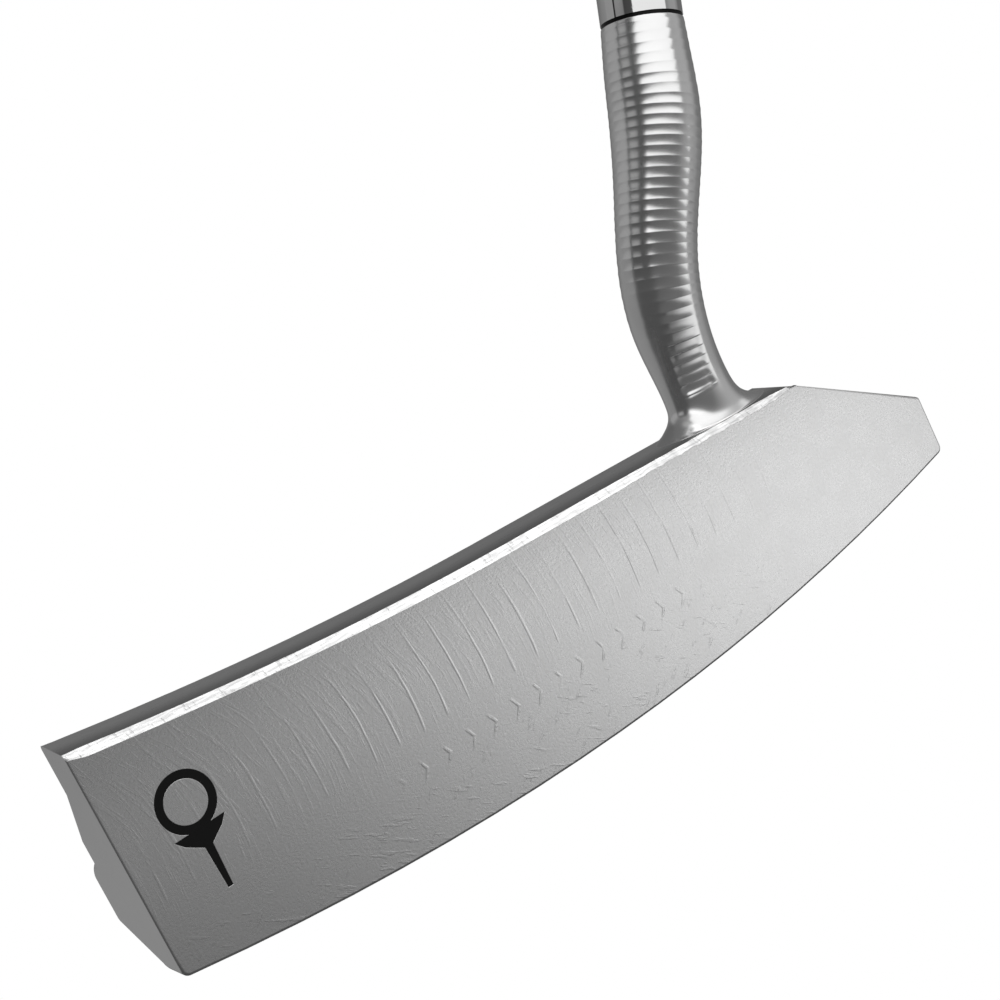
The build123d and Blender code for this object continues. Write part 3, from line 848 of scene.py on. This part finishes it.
APEX_BAND = [(0, 0.30), (51, 0.17), (150, 0.22), (214, 0.30), (290, 0.42), (298, 1.7), (345, 1.8),
             (355, 0.4), (360, 0.30)]
# height at which the high band starts, as a share of 30 degrees
EDGE_UNIT = 30.0
SOFTBOX_EDGE = [(0, 0.75), (150, 0.8), (160, 1.05), (212, 1.05), (219, 0.98), (231, 0.95),
                (290, 0.95), (302, 0.70), (320, 0.5), (345, 0.6), (360, 0.75)]
TOP_LIGHT, FLOOR_LIGHT = 0.45, 0.08
BRIGHTEST = 2.0           # radiance that a ramp's white stands for
# the ground band turns by GROUND_LEAN degrees for each degree of height, from LEAN_FROM on
GROUND_LEAN, LEAN_FROM = 0.9, -12.0


def band(tree, position, stops):
    """Radiance at a compass position, 0 to 1 round the horizon."""
    ramp = tree.nodes.new("ShaderNodeValToRGB")
    tree.links.new(position, ramp.inputs[0])
    elements = ramp.color_ramp.elements
    while len(elements) > 1:
        elements.remove(elements[-1])
    for i, (angle, value) in enumerate(stops):
        element = elements[0] if i == 0 else elements.new(angle / 360)
        element.position = angle / 360
        shade = value / BRIGHTEST
        element.color = (shade, shade, shade, 1.0)
    return calc(tree, "MULTIPLY", ramp.outputs[0], BRIGHTEST)


world = bpy.data.worlds.new("studio")
SCENE.world = world
world.use_nodes = True
sky = world.node_tree
direction = put(sky, "TexCoord", out="Generated")
direction = put(sky, "VectorMath", {0: direction}, operation="NORMALIZE")
dx, dy, dz = split(sky, direction, "XYZ")
compass = calc(sky, "ARCTAN2", dy, dx)
compass = calc(sky, "FRACT", calc(sky, "DIVIDE", compass, 2 * math.pi))
elevation = calc(sky, "MULTIPLY", calc(sky, "ARCSINE", dz), 180 / math.pi)
low, high = band(sky, compass, LOW_BAND), band(sky, compass, HIGH_BAND)
upper, zenith = band(sky, compass, UPPER_BAND), band(sky, compass, ZENITH_BAND)
apex = band(sky, compass, APEX_BAND)
lean = calc(sky, "SUBTRACT", elevation, LEAN_FROM)
leaned = calc(sky, "MULTIPLY_ADD", lean, GROUND_LEAN / 360, compass)
ground = band(sky, leaned, GROUND_BAND)
edge = calc(sky, "MULTIPLY", band(sky, compass, SOFTBOX_EDGE), EDGE_UNIT)
# the bands from the ground up; each takes over between two heights in degrees
light = blend(sky, remap(sky, elevation, -10.0, -14.0), low, ground)
light = blend(sky, remap(sky, calc(sky, "SUBTRACT", elevation, edge), -3.0, 4.0), light, high)
for start, full, radiance in ((45.0, 49.0, upper), (53.0, 57.0, zenith), (62.0, 67.0, apex),
                              (74.0, 86.0, TOP_LIGHT), (-22.0, -36.0, FLOOR_LIGHT)):
    light = blend(sky, remap(sky, elevation, start, full), light, radiance)
background = sky.nodes["Background"]
sky.links.new(grey(sky, light), background.inputs["Color"])
backdrop = put(sky, "Background", {"Color": (1, 1, 1, 1), "Strength": 1.0})
seen = put(sky, "LightPath", out="Is Camera Ray")
surface = put(sky, "MixShader", {0: seen, 1: background.outputs[0], 2: backdrop})
sky.links.new(surface, sky.nodes["World Output"].inputs["Surface"])

SCENE.view_settings.view_transform = "Standard"
SCENE.view_settings.look = "None"

# ------------------------------------------------------------------ camera
CAMERA_PLACE = Vector((-0.09196, -0.15869, 0.04563))
CAMERA_RIGHT = Vector((0.75280, -0.49310, -0.43606))
CAMERA_UP = Vector((0.45223, -0.09393, 0.88694))
CAMERA_BACK = Vector((-0.47831, -0.86489, 0.15228))
camera = bpy.data.objects.new("camera", bpy.data.cameras.new("camera"))
SCENE.collection.objects.link(camera)
turned = Matrix((CAMERA_RIGHT, CAMERA_UP, CAMERA_BACK)).transposed().to_4x4()
camera.matrix_world = Matrix.Translation(CAMERA_PLACE) @ turned
camera.data.sensor_width = 36.0
camera.data.lens = 60.06
camera.data.shift_x = 0.0006
camera.data.shift_y = 0.0031
camera.data.clip_start = 0.01
camera.data.clip_end = 20.0
SCENE.camera = camera

low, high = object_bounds()
